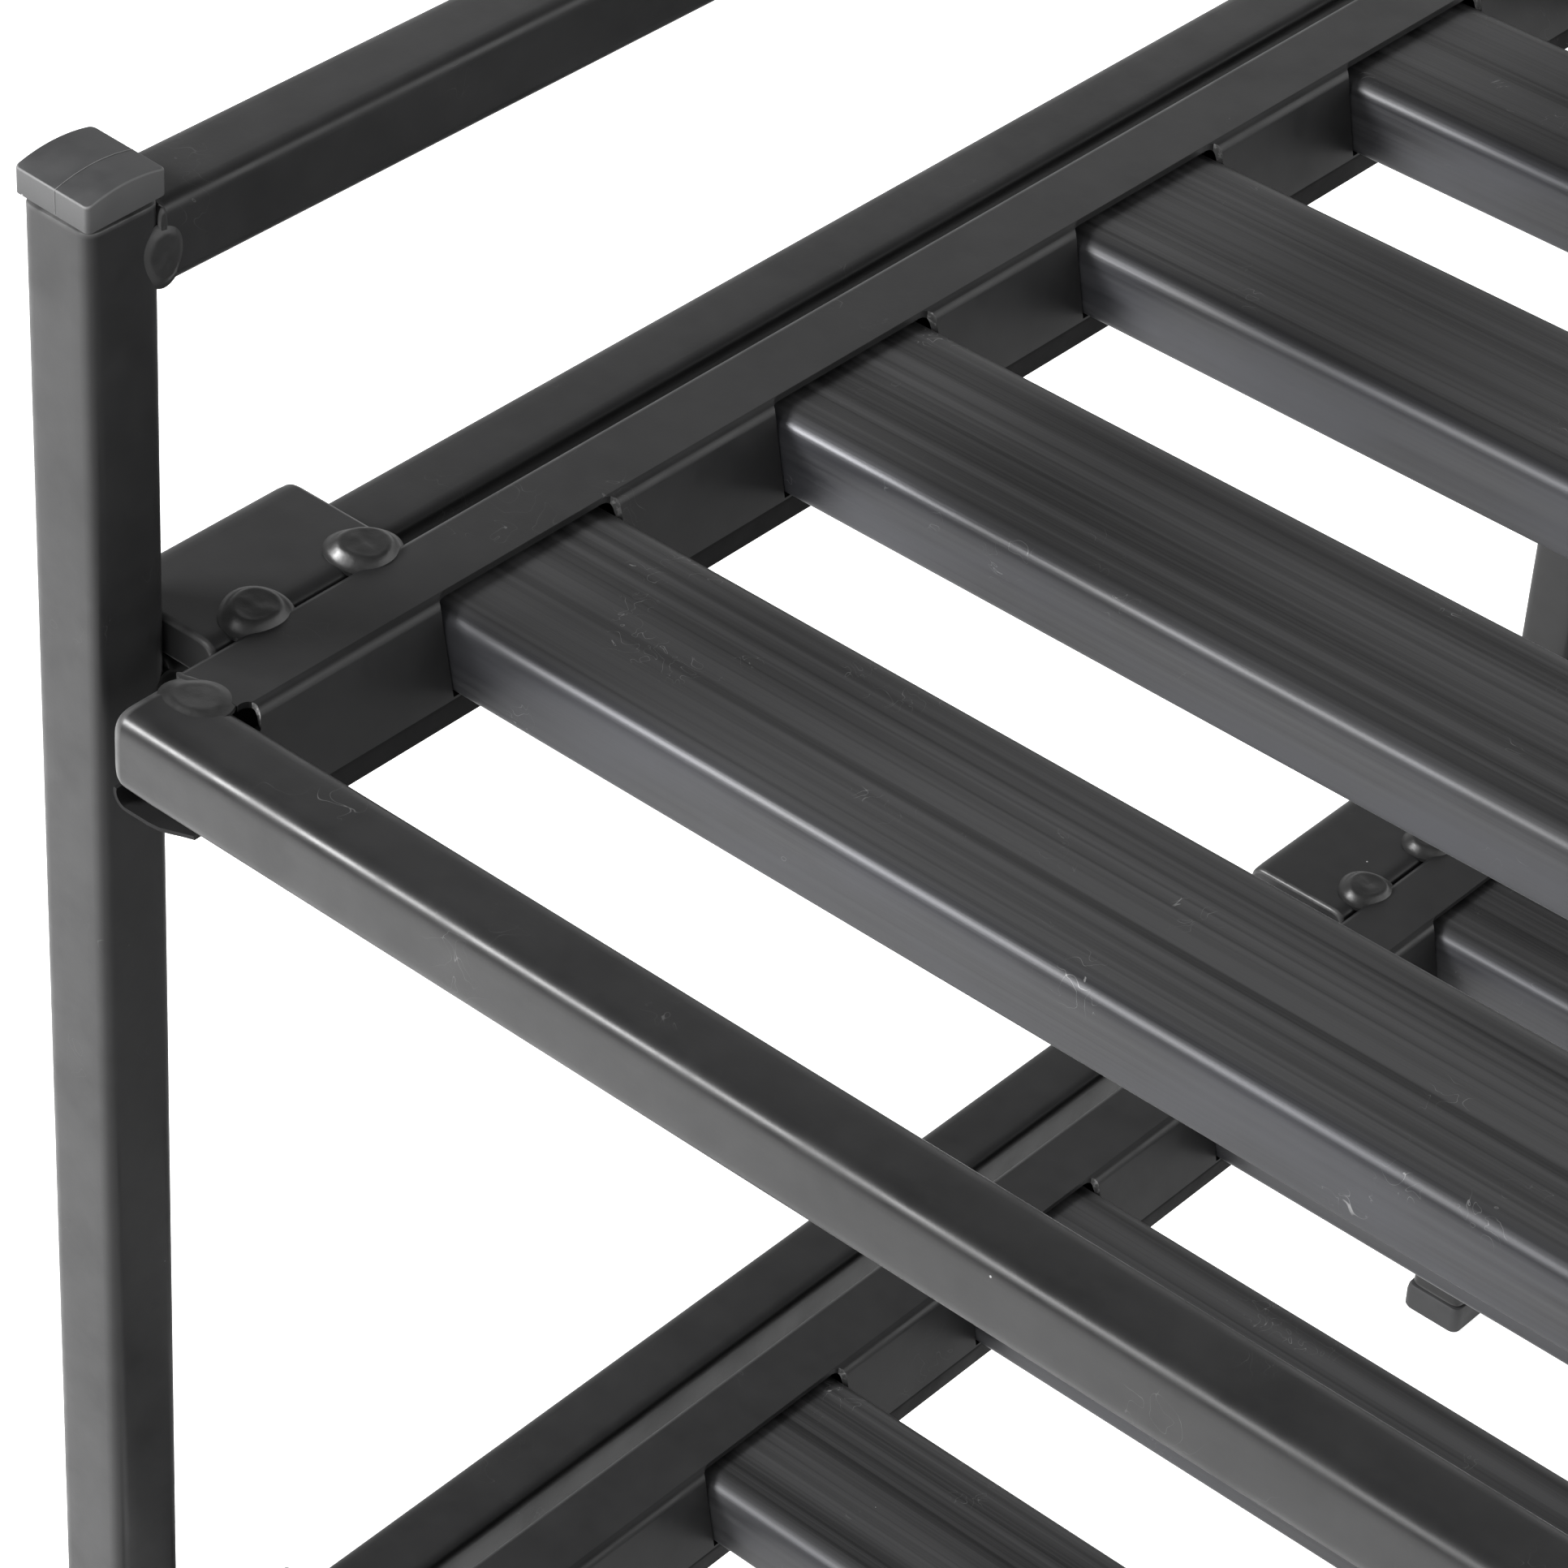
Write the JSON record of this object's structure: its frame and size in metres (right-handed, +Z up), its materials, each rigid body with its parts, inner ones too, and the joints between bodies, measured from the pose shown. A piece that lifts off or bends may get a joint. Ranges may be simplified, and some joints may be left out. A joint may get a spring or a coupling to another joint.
{
  "type": "folding luggage rack",
  "caption": "Two-tier folding luggage rack of dark painted steel tube: slatted shelves pinned between two end frames with high side rails, folding as a parallelogram.",
  "frame": {"origin": "on the floor, midway between the four feet", "axes": "+X along the slats from the left frame to the right frame, +Y from the front to the back, +Z up"},
  "size_m": [0.6526, 0.49, 0.534],
  "materials": {
    "frame_paint": "satin dark grey powder coat",
    "slat_paint": "satin dark grey lacquer over drawn tube, with lengthwise draw marks",
    "cap_plastic": "matte moulded dark grey",
    "pin_steel": "zinc plated"
  },
  "bodies": {
    "left_frame": {"left_front_post": "frame_paint", "left_front_cap": "cap_plastic", "left_front_foot": "cap_plastic", "left_rear_post": "frame_paint", "left_rear_cap": "cap_plastic", "left_rear_foot": "cap_plastic", "left_high_rail": "frame_paint", "left_upper_cross_rail": "frame_paint", "left_upper_front_lug": "frame_paint", "left_upper_rear_lug": "frame_paint", "left_lower_cross_rail": "frame_paint", "left_lower_front_lug": "frame_paint", "left_lower_rear_lug": "frame_paint"},
    "right_frame": {"right_front_post": "frame_paint", "right_front_cap": "cap_plastic", "right_front_foot": "cap_plastic", "right_rear_post": "frame_paint", "right_rear_cap": "cap_plastic", "right_rear_foot": "cap_plastic", "right_high_rail": "frame_paint", "right_upper_cross_rail": "frame_paint", "right_upper_front_lug": "frame_paint", "right_upper_rear_lug": "frame_paint", "right_lower_cross_rail": "frame_paint", "right_lower_front_lug": "frame_paint", "right_lower_rear_lug": "frame_paint"},
    "upper_shelf": {"upper_front_rail": "frame_paint", "upper_rear_rail": "frame_paint", "upper_left_side_rail": "frame_paint", "upper_left_front_pin": "pin_steel", "upper_left_rear_pin": "pin_steel", "upper_right_side_rail": "frame_paint", "upper_right_front_pin": "pin_steel", "upper_right_rear_pin": "pin_steel", "upper_slat_1": "slat_paint", "upper_slat_2": "slat_paint", "upper_slat_3": "slat_paint", "upper_slat_4": "slat_paint", "upper_slat_5": "slat_paint", "upper_front_stop_block": "frame_paint", "upper_rear_stop_block": "frame_paint"},
    "lower_shelf": {"lower_front_rail": "frame_paint", "lower_rear_rail": "frame_paint", "lower_left_side_rail": "frame_paint", "lower_left_front_pin": "pin_steel", "lower_left_rear_pin": "pin_steel", "lower_right_side_rail": "frame_paint", "lower_right_front_pin": "pin_steel", "lower_right_rear_pin": "pin_steel", "lower_slat_1": "slat_paint", "lower_slat_2": "slat_paint", "lower_slat_3": "slat_paint", "lower_slat_4": "slat_paint", "lower_slat_5": "slat_paint", "lower_front_stop_block": "frame_paint", "lower_rear_stop_block": "frame_paint"}
  },
  "joints": [
    {"name": "upper_shelf_fold", "type": "hinge", "parent": "right_frame", "child": "upper_shelf", "pos_m": [0.293, 0, 0.437], "axis": [0, 1, 0], "range_deg": [0, 84]},
    {"name": "lower_shelf_fold", "type": "hinge", "parent": "right_frame", "child": "lower_shelf", "pos_m": [0.293, 0, 0.186], "axis": [0, 1, 0], "range_deg": [0, 84]},
    {"name": "left_frame_fold", "type": "hinge", "parent": "upper_shelf", "child": "left_frame", "pos_m": [-0.293, 0, 0.437], "axis": [0, 1, 0], "range_deg": [-84, 0]}
  ],
  "couplings": [
    {"joint": "lower_shelf_fold", "follows": "upper_shelf_fold", "ratio": 1},
    {"joint": "left_frame_fold", "follows": "upper_shelf_fold", "ratio": -1}
  ]
}
